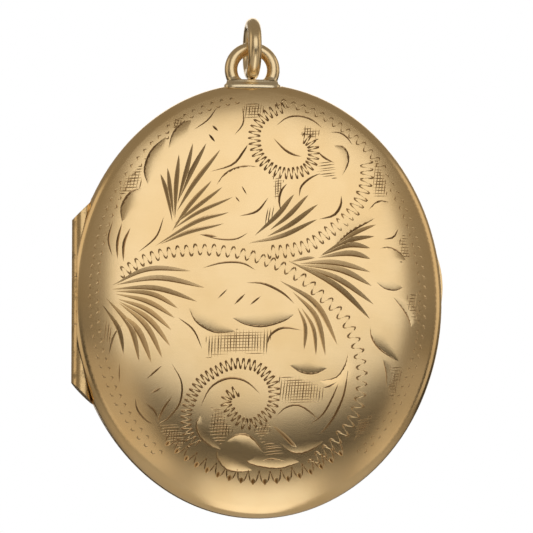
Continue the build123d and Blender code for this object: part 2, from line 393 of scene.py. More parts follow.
topLeftFan = [
    ((-6.95, 5.8), (-7.4, 8.0), (-7.85, 9.6), 0.25),
    ((-6.85, 6.2), (-7.15, 8.2), (-7.3, 10.1), 0.25),
    ((-6.75, 6.0), (-6.7, 8.6), (-6.4, 11.2), 0.28),
    ((-6.55, 7.2), (-6.0, 9.4), (-5.3, 12.1), 0.28),
    ((-6.4, 7.6), (-5.5, 9.8), (-4.25, 12.1), 0.28),
    ((-6.6, 6.6), (-5.2, 9.0), (-3.15, 11.6), 0.28),
    ((-7.0, 5.0), (-5.6, 7.2), (-3.85, 9.1), 0.26),
    ((-6.8, 5.6), (-5.1, 7.0), (-3.0, 8.6), 0.24),
    ((-6.9, 5.2), (-4.9, 6.6), (-2.2, 7.8), 0.22),
    ((-8.3, 3.85), (-5.0, 5.9), (-2.5, 6.6), 0.26),
    ((-7.9, 4.0), (-5.5, 5.1), (-2.9, 5.7), 0.26),
]
centreTopFan = [
    ((-0.5, 4.75), (1.4, 6.4), (2.65, 8.1), 0.3),
    ((0.7, 5.2), (2.3, 6.4), (3.8, 8.1), 0.28),
    ((0.5, 4.7), (2.5, 5.7), (4.55, 7.35), 0.3),
    ((-1.0, 4.15), (1.8, 4.75), (4.5, 6.15), 0.28),
]
rightFan = [
    ((5.8, 4.0), (7.4, 5.0), (9.2, 5.85), 0.26),
    ((4.8, 3.35), (6.9, 4.4), (9.05, 4.9), 0.3),
    ((4.7, 3.25), (6.9, 4.05), (8.7, 3.95), 0.34),
    ((2.4, 2.75), (3.4, 2.95), (4.3, 3.1), 0.2),
    ((4.5, 3.1), (7.0, 3.4), (8.7, 3.1), 0.36),
    ((3.0, 2.6), (5.8, 2.65), (8.7, 2.05), 0.34),
    ((3.1, 2.5), (6.2, 2.1), (8.8, 0.95), 0.36),
    ((2.9, 2.5), (6.0, 1.4), (8.95, -0.5), 0.34),
    ((2.1, 2.85), (5.8, 0.9), (8.65, -1.65), 0.36),
]
lowerFan = [
    ((1.5, 1.25), (4.3, -0.6), (6.05, -3.75), 0.34),
    ((2.5, 0.4), (4.3, -1.6), (5.1, -4.6), 0.32),
    ((3.2, -0.85), (4.1, -2.5), (4.35, -4.6), 0.24),
    ((2.9, -0.85), (3.45, -2.3), (3.4, -4.2), 0.24),
]
plainLines = [
    ((-11.55, 5.9), (-11.9, 4.4), (-11.6, 3.1), 0.16),
    ((-10.85, 5.7), (-11.2, 4.2), (-11.2, 2.85), 0.22),
    ((-10.2, 5.3), (-10.7, 4.1), (-10.75, 2.6), 0.24),
    ((-9.6, 3.35), (-8.2, 4.6), (-7.6, 6.2), 0.14),
    ((-5.2, 13.2), (-4.1, 14.0), (-3.3, 15.1), 0.12),
    ((-4.0, 9.8), (-2.2, 10.4), (-1.3, 11.5), (-1.0, 12.0), 0.18),
    ((-4.85, 4.8), (-3.2, 4.45), (-1.9, 4.5), (-1.0, 5.0), 0.14),
    ((-6.5, -1.75), (-5.3, -2.7), (-4.6, -4.2), 0.14),
    ((-7.0, -5.3), (-6.2, -6.8), (-6.3, -8.4), (-7.2, -9.6), (-7.9, -10.0), 0.16),
    ((-4.6, 2.15), (-3.0, 2.6), (-1.5, 2.6), (-0.4, 2.05), 0.18),
    ((-1.7, 6.3), (-0.3, 6.7), (0.6, 7.8), 0.18),
    ((-1.35, 15.2), (-1.3, 13.8), (-2.0, 12.8), 0.12),
    ((-9.75, -8.0), (-9.6, -8.9), (-9.0, -9.7), (-8.3, -10.1), 0.16),
    ((-9.0, -8.4), (-8.3, -9.0), (-8.0, -9.6), 0.2),
    ((-6.9, -7.9), (-7.6, -8.9), (-8.0, -9.9), 0.2),
    ((3.05, 7.9), (3.2, 8.7), (3.9, 9.4), (4.8, 9.85), 0.18),
    ((1.6, 6.7), (1.45, 7.6), (1.65, 8.4), (2.1, 8.95), 0.2),
    ((6.4, 8.1), (6.35, 7.3), (5.8, 6.5), (4.6, 6.15), 0.22),
    ((-1.15, 1.05), (0.2, 1.0), (1.7, 0.3), (2.65, -0.55), 0.2),
    ((0.5, -3.8), (0.8, -3.0), (1.8, -2.45), (3.3, -2.65), 0.2),
    ((6.2, -6.6), (5.6, -8.0), (4.9, -9.2), (3.9, -10.0), 0.16),
    ((7.0, -5.1), (6.6, -7.5), (6.0, -9.0), (5.3, -10.1), (4.6, -10.8), 0.2),
    ((6.1, -6.6), (5.4, -7.0), (4.9, -7.1), 0.14),
    ((9.8, 4.7), (10.6, 4.9), (11.0, 5.6), 0.16),
    ((1.3, 13.6), (2.2, 14.3), (3.3, 14.45), (4.3, 14.1), (5.0, 13.5), 0.16),
    ((1.05, 12.6), (1.9, 11.7), (2.6, 11.3), (3.3, 11.15), 0.2),
    ((5.6, 13.2), (6.4, 13.2), (7.0, 12.8), (7.4, 12.2), 0.14),
    ((4.6, 11.55), (5.1, 11.1), (5.9, 10.7), 0.18),
    ((-4.7, -8.7), (-4.0, -7.3), (-3.0, -6.6), (-2.0, -6.45), (-1.0, -6.8), (0.0, -7.7), 0.2),
    ((0.1, -12.9), (0.9, -12.7), (2.1, -12.9), 0.14),
    ((1.2, -9.4), (2.0, -8.7), (3.0, -8.5), (4.0, -9.1), (4.5, -9.6), 0.16),
    ((0.95, -10.1), (1.8, -10.8), (2.5, -11.5), (2.9, -11.8), 0.36),
]
ticks = [
    ((-3.75, 13.55), (-3.3, 13.1), 0.2),
    ((-4.05, 12.85), (-3.55, 12.2), 0.2),
    ((-4.8, 4.8), (-3.4, 4.65), 0.22),
    ((-3.4, -0.25), (-2.6, 0.55), 0.12),
    ((-2.1, -0.7), (-1.2, 0.2), 0.18),
    ((-0.85, -0.7), (0.0, 0.0), 0.16),
    ((-8.9, -6.55), (-7.7, -5.5), 0.16),
    ((-8.6, -7.7), (-7.7, -7.2), 0.18),
    ((-11.0, -5.3), (-11.0, -6.9), 0.1),
    ((-1.5, 8.7), (-1.1, 8.0), 0.12),
    ((-2.0, 7.85), (-1.65, 7.4), 0.12),
]
shadedRight = [  # petal edges with a soft slope to the right of the stroke
    ((-10.85, 5.8), (-10.85, 7.0), (-10.2, 8.1), (-9.3, 8.5), 0.6),
    ((-8.85, 8.8), (-9.05, 10.0), (-8.5, 11.5), (-7.4, 12.6), 0.6),
    ((-7.2, 11.7), (-6.8, 12.9), (-6.1, 13.7), (-5.4, 14.0), 0.5),
    ((-3.5, 8.7), (-2.7, 9.7), (-1.4, 10.25), (-0.1, 10.25), 0.5),
    ((9.5, 3.95), (10.2, 4.05), (11.0, 3.75), (11.6, 3.1), 0.45),
    ((8.6, 7.0), (9.4, 7.7), (10.3, 7.7), 0.45),
    ((5.9, 12.1), (6.6, 12.05), (7.0, 11.4), (6.95, 10.6), (6.5, 9.7), 0.5),
    ((-2.6, -11.4), (-1.9, -10.9), (-1.0, -10.9), (-0.2, -11.6), (0.2, -12.2), 0.5),
]
shadedLeft = [
    ((-5.65, -1.0), (-5.0, -2.1), (-3.6, -2.85), (-2.0, -2.8), 0.5),
    ((-2.2, -1.75), (-1.2, -2.2), (0.2, -2.35), (1.8, -1.9), (2.6, -1.4), 0.5),
    ((2.3, -5.4), (3.2, -5.9), (4.2, -6.0), (5.2, -5.6), 0.45),
    ((6.9, -4.4), (6.7, -5.3), (6.0, -6.3), (4.6, -6.6), 0.45),
    ((5.9, 4.15), (7.2, 5.3), (9.1, 6.35), 0.7),
    ((9.2, 1.25), (9.9, 0.8), (10.7, 0.7), (11.3, 0.9), 0.4),
    ((10.55, 0.1), (11.3, -0.7), (11.8, -1.5), (12.0, -2.2), 0.45),
    ((8.65, -2.2), (8.85, -3.2), (9.6, -4.1), (11.0, -4.95), 0.5),
    ((9.7, -4.8), (10.0, -5.8), (10.05, -7.0), 0.4),
    ((1.5, -11.4), (2.4, -12.1), (3.3, -12.2), (4.3, -11.8), (4.95, -11.3), 0.5),
    ((-4.7, -9.4), (-5.0, -10.1), (-4.7, -11.0), (-3.9, -11.7), (-3.1, -12.0), 0.5),
    ((-3.4, -12.0), (-3.3, -12.7), (-2.6, -13.5), (-1.6, -13.7), (-0.6, -13.6), 0.5),
    ((-1.0, -12.6), (-0.9, -13.0), (0.2, -13.3), (1.5, -13.4), (2.6, -13.1), (3.1, -12.9), 0.45),
]
fans = ((leftFan, 0.45), (topLeftFan, -0.3), (centreTopFan, 0.4), (rightFan, 0.45), (lowerFan, 0.3))
for fan, lean in fans:
    for *points, width in fan:
        cut(points, width * 1.35, lean=lean, swell=1.25, deep=0.72, dark=0.6)
cutAll(plainLines)
cutAll(ticks, count=4)
for strokes, side in ((shadedRight, -1), (shadedLeft, 1)):
    for *points, width in strokes:
        cut(points, width * 2.1, lean=0.94 * side, deep=0.17, soft=side, count=24)
        cut(points, width * 0.4)


def alongPath(points, pitches):  # places, ways and shares at an even or slowly changing pitch
    line = smoothLine(points, 40 * len(points))
    run = np.concatenate([[0], np.cumsum(np.linalg.norm(np.diff(line, axis=0), axis=1))])
    stops, at = [], 0.0
    while at < run[-1]:
        stops.append(at)
        at += np.interp(at / run[-1], np.linspace(0, 1, len(pitches)), pitches) / 2
    places = np.stack([np.interp(stops, run, line[:, k]) for k in (0, 1)], -1)
    return places, across(places), np.array(stops) / run[-1]


def wriggle(points, pitches, halfWidth, width=0.17, hook=0.3, legs=1.0, faint=True, dark=1.0):
    # the graver is rocked from side to side as it goes: a deep hook at each turn, a faint line between
    places, sideways, share = alongPath(points, pitches)
    ahead = np.stack([sideways[:, 1], -sideways[:, 0]], -1)
    turns = []
    for k, place in enumerate(places):
        side = 1 if k % 2 else -1
        pitch = np.interp(share[k], np.linspace(0, 1, len(pitches)), pitches)
        n, t = sideways[k] * side, ahead[k]
        tip = place + n * halfWidth * chance.uniform(0.92, 1.06)
        back = tip - t * pitch * hook - n * halfWidth * legs
        on = tip + t * pitch * hook * 0.7 - n * halfWidth * legs * 0.6
        cut([back, tip - t * pitch * 0.06, on], width * chance.uniform(0.85, 1.15), count=8, dark=dark)
        turns.append(tip)
    if faint:
        for a, b in zip(turns, turns[1:]):
            cut([a, b], graver["faint"], deep=0.35, count=3, dark=0.25)


stem = [
    (-10.9, 1.7), (-10.0, 2.3), (-9.0, 2.8), (-8.0, 3.15), (-7.0, 3.4), (-6.0, 3.5), (-5.0, 3.6),
    (-4.0, 3.6), (-3.0, 3.55), (-2.0, 3.4), (-1.0, 3.2), (0.0, 2.95), (1.0, 2.6), (2.0, 2.2),
    (2.9, 1.7), (3.6, 1.2), (4.2, 0.6), (4.8, 0.1), (5.4, -0.4), (5.95, -0.95), (6.45, -1.5),
    (6.85, -2.05), (7.2, -2.7), (7.5, -3.45), (7.75, -4.2), (7.9, -5.0), (8.0, -5.7), (8.0, -6.5),
    (7.95, -7.3), (7.85, -8.1), (7.6, -8.9), (7.2, -9.7), (6.7, -10.5), (6.1, -11.1),
    (5.3, -11.9), (4.5, -12.6), (4.0, -13.2),
]
branch = [
    (0.7, 3.5), (1.6, 3.55), (2.5, 3.7), (3.4, 3.95), (4.2, 4.3), (4.9, 4.8), (5.7, 5.4),
    (6.5, 6.0), (7.1, 6.6), (7.6, 7.2), (8.0, 7.95), (8.3, 8.7), (8.5, 9.4), (8.55, 10.2),
    (8.5, 11.0),
]
topScroll = [
    (1.9, 15.1), (0.9, 14.7), (0.1, 14.1), (-0.35, 13.3), (-0.45, 12.4), (-0.3, 11.5),
    (0.1, 10.8), (0.8, 10.2), (1.7, 9.8), (2.7, 9.8), (3.5, 10.05), (4.05, 10.6), (4.25, 11.3),
    (4.2, 12.0), (3.8, 12.5), (3.3, 12.7),
]
lowerScroll = [
    (-5.1, -11.6), (-5.6, -10.9), (-5.8, -10.2), (-5.8, -9.5), (-5.75, -8.9), (-5.5, -8.2),
    (-5.25, -7.6), (-4.9, -7.0), (-4.4, -6.5), (-3.8, -6.1), (-3.1, -5.7), (-2.4, -5.4),
    (-1.6, -5.3), (-0.9, -5.4), (-0.2, -5.6), (0.6, -6.3), (1.0, -6.95), (1.05, -7.5),
    (1.05, -8.2), (0.85, -8.8), (0.4, -9.3), (-0.1, -9.7), (-0.7, -10.0), (-1.3, -10.0),
    (-1.9, -9.6), (-2.4, -9.0), (-2.7, -8.5), (-2.7, -8.1), (-2.4, -7.7), (-1.7, -7.4),
]
wriggle(stem, (0.6, 0.75, 0.95, 0.85, 0.75), 0.42, width=0.16, legs=0.85, dark=0.75)
wriggle(branch, (0.6, 0.6), 0.5, width=0.15, legs=0.85, dark=0.75)
wriggle(topScroll, (0.5, 0.4, 0.4), 0.45, width=0.15, legs=1.3)
wriggle(lowerScroll, (0.42, 0.42), 0.42, width=0.16, legs=1.4)


def ovalLine(fromTurn, toTurn, inset):
    count = max(6, int(abs(toTurn - fromTurn) / 8))
    u, v, _, _ = outline(np.radians(np.linspace(fromTurn, toTurn, count)), inset)
    return list(zip(u, v))


def border(fromTurn, toTurn, inset, pitch, halfWidth, width, **how):
    wriggle(ovalLine(fromTurn, toTurn, inset), (pitch, pitch), halfWidth, width, **how)


tooth = {  # widths in mm, and how far the legs run outward
    "hollow": 0.40,
    "leg": 0.12,
    "tip": 0.15,
    "reach": 0.72,
}


def teeth(fromTurn, toTurn, inset, pitch):
    # the bottom border: deep hollows, each with two thin legs that run outward
    places, sideways, _ = alongPath(ovalLine(fromTurn, toTurn, inset), (pitch * 2, pitch * 2))
    for place, out in zip(places, sideways):
        ahead = np.array([out[1], -out[0]])
        jog = chance.uniform(-0.05, 0.05)
        cut([place - out * 0.30, place + out * 0.22], tooth["hollow"], swell=1.25, deep=1.2, count=6)
        for side in (-1, 1):
            root = place - out * 0.12 + ahead * side * 0.17
            tip = place + out * (tooth["reach"] + jog) + ahead * side * pitch * 0.42
            bend = root * 0.6 + tip * 0.4 + ahead * side * 0.04
            cut([root, bend, tip], tooth["leg"], count=6)
            cut([tip - out * 0.14, tip + out * 0.10 + ahead * side * 0.05], tooth["tip"], count=4)


border(-128, -236, 1.68, 0.78, 0.34, 0.13, legs=0.6, faint=False, dark=0.55)  # left side
border(124, 97, 1.4, 0.78, 0.26, 0.12, legs=0.6, faint=False, dark=0.6)  # top left
border(83, 40, 1.5, 0.8, 0.3, 0.12, legs=0.8, dark=0.7)  # top right
border(40, -52, 1.75, 0.78, 0.28, 0.11, legs=0.6, faint=False, dark=0.6)  # right side
teeth(-128, -53, 2.75, 0.93)  # bottom


def hatch(corners, angle, spacing, ragged=0.25):
    # parallel scratches across a patch, with uneven ends
    corners = np.array(corners, float)
    way = np.array([math.cos(math.radians(angle)), math.sin(math.radians(angle))])
    side = np.array([-way[1], way[0]])
    offsets = corners @ side
    at = offsets.min() + spacing * 0.5
    following = np.roll(corners, -1, axis=0)
    while at < offsets.max():
        here = at + chance.uniform(-0.12, 0.12) * spacing
        marks = []
        for a, b in zip(corners, following):
            da, db = a @ side - here, b @ side - here
            if (da < 0) != (db < 0):
                marks.append((a + (b - a) * da / (da - db)) @ way)
        marks.sort()
        for low, high in zip(marks[::2], marks[1::2]):
            low += chance.uniform(-ragged, ragged) * 0.5
            high += chance.uniform(-ragged, ragged) * 0.5
            if high - low > 0.15:
                tilt = side * chance.uniform(-0.03, 0.03)
                ends = [way * low + side * here, way * high + side * here + tilt]
                cut(ends, graver["hatch"] * chance.uniform(0.7, 1.15), deep=0.9, count=4, dark=0.85)
        at += spacing


def crossHatch(corners, first, second, spacing, **how):
    hatch(corners, first, spacing, **how)
    hatch(corners, second, spacing, **how)


crossHatch([(-11.2, 7.9), (-9.4, 8.3), (-9.2, 10.3), (-10.6, 9.4)], 78, 2, 0.24)
crossHatch([(-7.0, 13.5), (-6.2, 13.4), (-6.0, 14.2), (-6.5, 14.2)], 75, 0, 0.22)
crossHatch([(-1.4, 14.1), (0.2, 14.3), (0.5, 15.4), (-1.2, 15.5)], 82, 4, 0.22)
crossHatch([(3.2, 12.9), (4.6, 12.5), (4.8, 13.3), (3.6, 13.7)], 85, 5, 0.22)
hatch([(4.4, 9.6), (6.2, 9.4), (6.1, 10.8), (4.7, 10.9)], 8, 0.22)
hatch([(0.2, 5.4), (0.9, 5.9), (1.1, 7.2), (0.4, 7.0)], 80, 0.2)
crossHatch([(1.1, 7.6), (1.5, 7.9), (1.9, 9.3), (1.0, 9.6)], 88, 8, 0.2)
crossHatch([(8.9, 8.0), (10.2, 8.1), (9.9, 10.4), (9.2, 11.3)], 82, 2, 0.24)
crossHatch([(11.2, 2.8), (12.0, 3.4), (11.5, 5.4), (11.0, 4.6)], 80, 0, 0.24)
crossHatch([(11.5, -1.5), (12.5, -1.7), (12.6, 0.6), (11.7, 0.4)], 82, 2, 0.24)
crossHatch([(10.3, -5.2), (11.4, -5.4), (10.6, -8.2), (10.1, -7.4)], 80, 5, 0.24)
crossHatch([(-4.3, -3.2), (-1.9, -2.6), (0.9, -2.6), (0.6, -4.6), (-2.2, -4.5), (-4.3, -5.0)], 88, 2, 0.24)
hatch([(-12.2, -3.8), (-11.5, -4.0), (-11.7, -1.8), (-12.1, -1.8)], 84, 0.2)
crossHatch([(1.4, -6.3), (3.2, -6.3), (5.0, -6.9), (4.9, -8.3), (3.2, -8.3), (1.5, -8.4)], 84, 3, 0.22)
crossHatch([(-3.9, -8.7), (-2.9, -8.8), (-2.1, -10.6), (-3.1, -11.7), (-4.1, -11.0)], 84, 3, 0.24)
crossHatch([(-0.6, -10.6), (0.6, -9.6), (0.9, -10.4), (0.1, -11.3)], 70, 5, 0.22)
hatch([(0.1, -11.4), (1.4, -11.5), (2.0, -12.3), (0.3, -12.5)], 6, 0.2)
crossHatch([(-7.9, -10.2), (-6.4, -10.0), (-5.7, -11.4), (-6.2, -12.0), (-7.4, -11.4)], 84, 4, 0.2)
crossHatch([(7.6, -9.6), (8.9, -9.2), (8.6, -10.2), (7.5, -11.2)], 70, 10, 0.2)
print("cuts:", len(cuts))


# the engraved surface


# the darkness returned is the painted shade and dirt for a cut's floor
def engraved(points):  # depth, slope and darkness of the deepest cut at each point
    depth = np.zeros(len(points))
    dark = np.zeros(len(points))
    slope = np.zeros((len(points), 2))
    order = np.argsort(points[:, 0])
    sortedU = points[order, 0]
    for line, left, right, depths, soft, darkness in cuts:
        reach = max(left.max(), right.max())
        low, high = line.min(0) - reach, line.max(0) + reach
        first, last = np.searchsorted(sortedU, (low[0], high[0]))
        near = order[first:last]
        near = near[(points[near, 1] > low[1]) & (points[near, 1] < high[1])]
        if not len(near):
            continue
        start, span = line[:-1], np.diff(line, axis=0)
        off = points[near][:, None, :] - start
        along = np.clip((off * span).sum(2) / (span**2).sum(1), 0, 1)
        gap = off - along[:, :, None] * span
        far = np.sqrt((gap**2).sum(2))
        k = far.argmin(1)
        row = np.arange(len(near))
        t, gap, far = along[row, k], gap[row, k], far[row, k]
        onLeft = span[k, 0] * gap[:, 1] - span[k, 1] * gap[:, 0] > 0
        widths = np.where(
            onLeft, left[k] + t * (left[k + 1] - left[k]), right[k] + t * (right[k + 1] - right[k])
        )
        floor = depths[k] + t * (depths[k + 1] - depths[k])
        widths = np.maximum(widths, 1e-6)
        rest = 1 - far / widths
        fading = onLeft if soft > 0 else ~onLeft
        power = np.where(fading & (soft != 0), 2.0, 1.0)
        here = np.where(rest > 0, floor * np.abs(rest) ** power, 0)
        deeper = here > depth[near]
        won = near[deeper]
        depth[won] = here[deeper]
        rate = power * floor / widths * np.abs(rest) ** (power - 1) / np.maximum(far, 1e-6)
        slope[won] = -(gap * rate[:, None])[deeper]
        # painted shade and dirt: darker where the cut is deeper
        fill = np.clip(here / depths.max(), 0, 1) ** (1.4 if reach > 0.16 else 0.4)
        dark[won] = (darkness * (0.12 + 0.88 * fill))[deeper]
    return depth, slope, dark


coverMesh = {
    "spacing": 0.75,  # mm between the plain points inside
    "ringed": 1.7,  # width of the band that has rings of points instead
}


def coverRim():
    # the CAD cover without its outside face, and the loop of edges where that face was
    source = nodes["front_cover"]
    shell = bmesh.new()
    shell.from_mesh(source.data)
    bmesh.ops.remove_doubles(shell, verts=shell.verts, dist=1e-7)
    outside = [f for f in shell.faces if f.normal.y < -0.02]
    bmesh.ops.delete(shell, geom=outside, context="FACES")
    shell.verts.ensure_lookup_table()
    return shell, [e for e in shell.edges if len(e.link_faces) == 1]


def cutCover():
    shell, rim = coverRim()
    rimVerts = list({v for e in rim for v in e.verts})
    number = {v: k for k, v in enumerate(rimVerts)}
    flat = [(v.co.x / mm - middleX, v.co.z / mm - middleZ) for v in rimVerts]
    edges = [(number[e.verts[0]], number[e.verts[1]]) for e in rim]
    rimSegments = np.array([[flat[a], flat[b]] for a, b in edges])
    rimCount = len(flat)

    def clear(points, gap):  # inside the rim and away from its edges
        a, b = rimSegments[:, 0], rimSegments[:, 1]
        off = points[:, None, :] - a
        span = b - a
        along = np.clip((off * span).sum(2) / np.maximum((span**2).sum(1), 1e-12), 0, 1)
        far = np.sqrt(((off - along[:, :, None] * span) ** 2).sum(2)).min(1)
        crosses = (a[:, 1] > points[:, None, 1]) != (b[:, 1] > points[:, None, 1])
        where = a[:, 0] + (points[:, None, 1] - a[:, 1]) * span[:, 0] / np.where(
            span[:, 1] == 0, 1e-12, span[:, 1]
        )
        inside = (crosses & (points[:, None, 0] < where)).sum(1) % 2 == 1
        return inside & (far > gap)

    radius = coverShape["shoulderRadius"]
    fill = []
    for k, lift in enumerate(range(8, 67, 6)):
        inset = radius * (1 - math.cos(math.radians(lift)))
        turns = np.linspace(0, 2 * np.pi, 260, endpoint=False) + (k % 2) * np.pi / 260
        u, v, _, _ = outline(turns, inset)
        ring = np.stack([u, v], -1)
        fill.append(ring[clear(ring, min(0.03 + inset * 0.3, 0.12))])
    for k, inset in enumerate((0.85, 1.15, 1.5)):
        turns = np.linspace(0, 2 * np.pi, 200, endpoint=False) + (k % 2) * np.pi / 200
        u, v, _, _ = outline(turns, inset)
        ring = np.stack([u, v], -1)
        fill.append(ring[clear(ring, 0.15)])
    spacing = coverMesh["spacing"]
    rise = spacing * 0.866  # between the rows of even triangles
    rows = []
    for row in range(int(2 * halfUp / rise)):
        v = -halfUp + row * rise
        for column in range(int(2 * halfAcross / spacing)):
            rows.append((-halfAcross + (column + row % 2 / 2) * spacing, v))
    rows = np.array(rows)
    edge = coverMesh["ringed"]
    within = (rows[:, 0] / (halfAcross - edge)) ** 2 + (rows[:, 1] / (halfUp - edge)) ** 2 < 1
    rows = rows[within]
    fill.append(rows[clear(rows, 0.3)])
    for points in fill:
        flat.extend(map(tuple, points))

    for line, left, right, _, soft, _ in cuts:
        sideways = across(line)
        rails = [line, line + sideways * left[:, None], line - sideways * right[:, None]]
        if soft:
            wall = left if soft > 0 else -right
            rails.extend(line + sideways * wall[:, None] * share for share in (0.33, 0.66))
        first = len(flat)
        count = len(line)
        flat.extend(map(tuple, line))
        edges.extend((first + k, first + k + 1) for k in range(count - 1))
        for rail in rails[1:]:
            start = len(flat)
            flat.extend(map(tuple, rail[1:-1]))
            run = [first, *range(start, start + count - 2), first + count - 1]
            edges.extend(zip(run, run[1:]))
    print("points", len(flat), "edges", len(edges))
    verts, _, faces, origins, _, _ = delaunay_2d_cdt(
        [Vector(p) for p in flat], edges, [], 1, 1e-5, True
    )
    print("triangulated:", len(verts), "points,", len(faces), "triangles")
    where = np.array([tuple(v) for v in verts])
    triangles = np.array(faces)
    depth, _, _ = engraved(where)
    height, _ = shoulder(where[:, 0], where[:, 1])
    y = np.maximum(depth - height, cadBox[0].y / mm)
    fixed = {}
    for k, source in enumerate(origins):
        for s in source:
            if s < rimCount:
                fixed[k] = rimVerts[s]
                y[k] = rimVerts[s].co.y / mm
    print("rim points kept:", len(fixed), "of", rimCount)

    # the normals: smooth over the dome, and flat to each wall of a cut
    corners = where[triangles].reshape(-1, 2)
    centres = np.repeat(where[triangles].mean(1), 3, axis=0)
    middleDepth, _, _ = engraved(centres)
    inCut = middleDepth > 2e-4
    look = np.where(inCut[:, None], corners * 0.75 + centres * 0.25, corners * 0.98 + centres * 0.02)
    _, normal = shoulder(look[:, 0], look[:, 1])
    _, slope, dark = engraved(look)
    # painted shade and dirt on the corners of cut triangles; none on shallow cuts or the dome
    dark = np.where(inCut & (middleDepth > 0.006), dark, 0)
    tilt = np.where(inCut[:, None], slope, 0)
    ratio = np.maximum(-normal[:, 1], 1e-3)
    bentU = normal[:, 0] / ratio + tilt[:, 0]
    bentV = normal[:, 2] / ratio + tilt[:, 1]
    bent = np.stack([bentU, -np.ones(len(tilt)), bentV], -1)
    bent /= np.linalg.norm(bent, axis=1)[:, None]
    normal = np.where(inCut[:, None], bent, normal)

    # the kept CAD faces first, then the new ones
    shell.verts.index_update()
    points = [tuple(v.co) for v in shell.verts]
    number = {k: v.index for k, v in fixed.items()}
    for k, (u, v) in enumerate(where):
        if k not in number:
            number[k] = len(points)
            points.append(((u + middleX) * mm, y[k] * mm, (v + middleZ) * mm))
    polygons = [[v.index for v in f.verts] for f in shell.faces]
    flatNormals = [tuple(f.normal) for f in shell.faces for _ in f.verts]
    shades = np.concatenate([np.zeros(len(flatNormals)), dark]).astype(np.float32)
    polygons.extend([number[k] for k in face] for face in faces)
    shell.free()
    mesh = bpy.data.meshes.new("engravedCover")
    mesh.from_pydata(points, [], polygons)
    mesh.attributes.new("cutShade", "FLOAT", "CORNER").data.foreach_set("value", shades)
    mesh.polygons.foreach_set("use_smooth", [True] * len(mesh.polygons))
    mesh.normals_split_custom_set(flatNormals + [tuple(n) for n in normal])
    mesh.materials.append(finishes["engraved_gold"])
    return addPiece("engravedFrontCover", mesh)


frontCover = cutCover()
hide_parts("front_cover")
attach(frontCover, "front_half")
print("front cover:", len(frontCover.data.polygons), "triangles")


# the solder foot under the bail

footShape = {
    # share of the height, half width and half depth in mm, from the bottom up
    "levels": [
        (0.0, 2.24, 0.85), (0.58, 2.24, 0.84), (0.62, 2.20, 0.80), (0.68, 2.14, 0.75),
        (0.75, 2.09, 0.715), (0.82, 2.055, 0.695), (0.90, 2.035, 0.675), (0.96, 2.02, 0.655),
        (0.99, 2.00, 0.61), (1.0, 1.95, 0.53),
    ],
    "corner": 3.2,  # how square the plan is; 2 is an ellipse
    "points": 72,
}


def makeFoot():
    low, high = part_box("bail_foot")
    cx, cy = (low.x + high.x) / 2, (low.y + high.y) / 2
    turns = np.linspace(0, 2 * np.pi, footShape["points"], endpoint=False)
    power = 2 / footShape["corner"]
    sideways = np.sign(np.cos(turns)) * np.abs(np.cos(turns)) ** power
    through = np.sign(np.sin(turns)) * np.abs(np.sin(turns)) ** power
    points, faces = [], []
    count = footShape["points"]
    for share, halfWidth, halfDepth in footShape["levels"]:
        z = low.z + share * (high.z - low.z)
        for a, b in zip(sideways, through):
            points.append((cx + a * halfWidth * mm, cy + b * halfDepth * mm, z))
    for level in range(len(footShape["levels"]) - 1):
        for k in range(count):
            start, after = level * count, level * count + count
            faces.append((start + k, start + (k + 1) % count, after + (k + 1) % count, after + k))
    top = len(points) - count
    faces.append(tuple(range(count - 1, -1, -1)))
    faces.append(tuple(range(top, top + count)))
    mesh = bpy.data.meshes.new("bailFoot")
    mesh.from_pydata(points, [], faces)
    mesh.polygons.foreach_set("use_smooth", [True] * (len(faces) - 2) + [False] * 2)
    mesh.materials.append(finishes["solder_gold"])
    return addPiece("bailFoot", mesh)


collarShape = {
    "sunk": 0.06,  # start below the foot's top, mm
    "rise": 0.50,
    "wide": 0.64,  # radius round the wire at the bottom and at the top
    "narrow": 0.49,
    "curve": 2.4,  # how fast the collar draws in
    "rings": 12,
    "points": 40,
}


def makeCollar(side):  # solder drawn up round one end of the bail
    low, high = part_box("bail_loop")
    wire = (high.y - low.y) / 2
    radius = (high.x - low.x) / 2 - wire
    centreZ = high.z - radius - wire
    count = collarShape["points"]
    points, faces = [], []
    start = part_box("bail_foot")[1].z - collarShape["sunk"] * mm
    for ring in range(collarShape["rings"]):
        share = ring / (collarShape["rings"] - 1)
        z = start + share * collarShape["rise"] * mm
        fade = (collarShape["wide"] - collarShape["narrow"]) * (1 - share) ** collarShape["curve"]
        drop = z - centreZ
        for k in range(count):
            a = 2 * math.pi * k / count
            y = math.sin(a) * (collarShape["narrow"] + fade) * mm
            sweep = math.cos(a) * (collarShape["narrow"] + fade * (1 - math.cos(a)) / 2) * mm
            reach = radius + sweep  # level section of the bail's wire, thickened
            points.append((side * math.sqrt(max(reach**2 - drop**2, 0)), y, z))
    for ring in range(collarShape["rings"] - 1):
        for k in range(count):
            a, b = ring * count + k, ring * count + (k + 1) % count
            face = (a, b, b + count, a + count)
            faces.append(face if side < 0 else face[::-1])
    mesh = bpy.data.meshes.new("collar")
    mesh.from_pydata(points, [], faces)
    mesh.polygons.foreach_set("use_smooth", [True] * len(faces))
    mesh.materials.append(finishes["solder_gold"])
    return addPiece("solderCollar" + ("Left" if side < 0 else "Right"), mesh)


cardGap = 0.02  # mm between a card and its window


def makeCard(side):  # a card with a little air between it and its window
    node = nodes[side + "_photo_card"]
    low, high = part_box(side + "_photo_card")
    far = low.y if side == "front" else high.y
    share = 1 - cardGap * mm / (high.y - low.y)
    mesh = node.data.copy()
    for vertex in mesh.vertices:
        vertex.co.y = far + (vertex.co.y - far) * share
    return addPiece(side + "Card", mesh)


for side in ("front", "back"):
    card = makeCard(side)
    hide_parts(side + "_photo_card")
    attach(card, side + "_half")

foot = makeFoot()
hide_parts("bail_foot")
for piece in (foot, makeCollar(-1), makeCollar(1)):
    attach(piece, "back_half")
print("foot and collars made")


# floor, lights and camera

